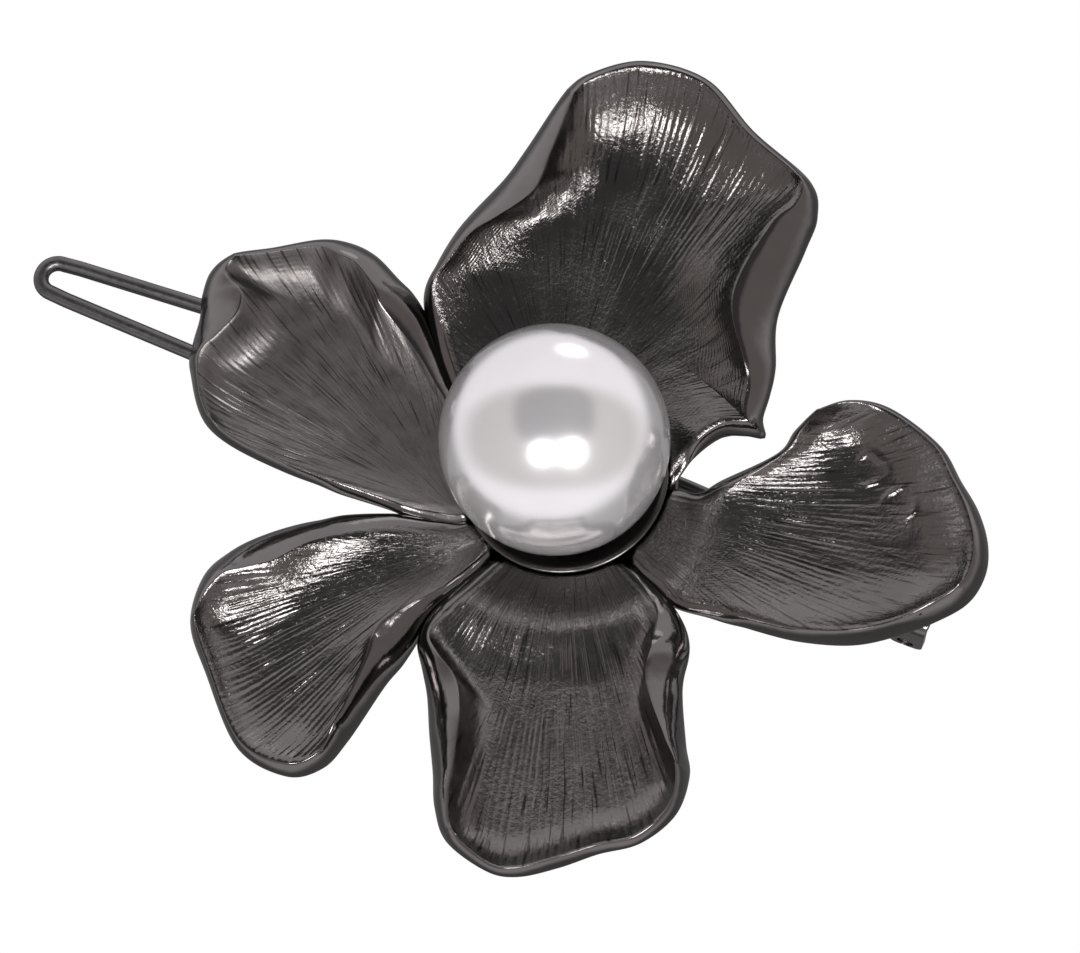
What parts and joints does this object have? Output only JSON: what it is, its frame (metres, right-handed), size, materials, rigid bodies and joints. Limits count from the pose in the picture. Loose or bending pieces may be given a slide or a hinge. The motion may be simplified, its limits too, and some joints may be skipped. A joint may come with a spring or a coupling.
{
  "type": "flower hair clip",
  "caption": "Gunmetal flower hair clip with wavy cast petals, a large imitation pearl, and a hinged spring-wire loop that snaps over a ball-headed catch.",
  "frame": {"origin": "on the clip's midline, level with the flat underside of the flower base", "axes": "+X along the wire loop towards its hinge, +Z out of the flower's face, +Y across the clip"},
  "size_m": [0.0724, 0.0592, 0.0243],
  "materials": {
    "gunmetal_cast": "black nickel plated casting, engraved grain inside the petals, glossy outside",
    "gunmetal_stamped": "black nickel plated, smooth",
    "wire": "black nickel plated spring wire, satin",
    "pearl": "pearlescent white, glossy"
  },
  "bodies": {
    "flower": {"petal_top": "gunmetal_cast", "petal_upper_left": "gunmetal_cast", "petal_lower_left": "gunmetal_cast", "petal_bottom": "gunmetal_cast", "petal_right": "gunmetal_cast", "flower_base": "gunmetal_stamped", "pearl_cup": "gunmetal_stamped", "pearl_post": "gunmetal_stamped", "pearl": "pearl", "catch_stud": "gunmetal_stamped", "hinge_bracket": "gunmetal_stamped"},
    "loop": {"wire_loop": "wire"}
  },
  "joints": [
    {"name": "loop_hinge", "type": "hinge", "parent": "flower", "child": "loop", "pos_m": [0.026, 0, -0.0006], "axis": [0, -1, 0], "range_deg": [0, 75]}
  ]
}
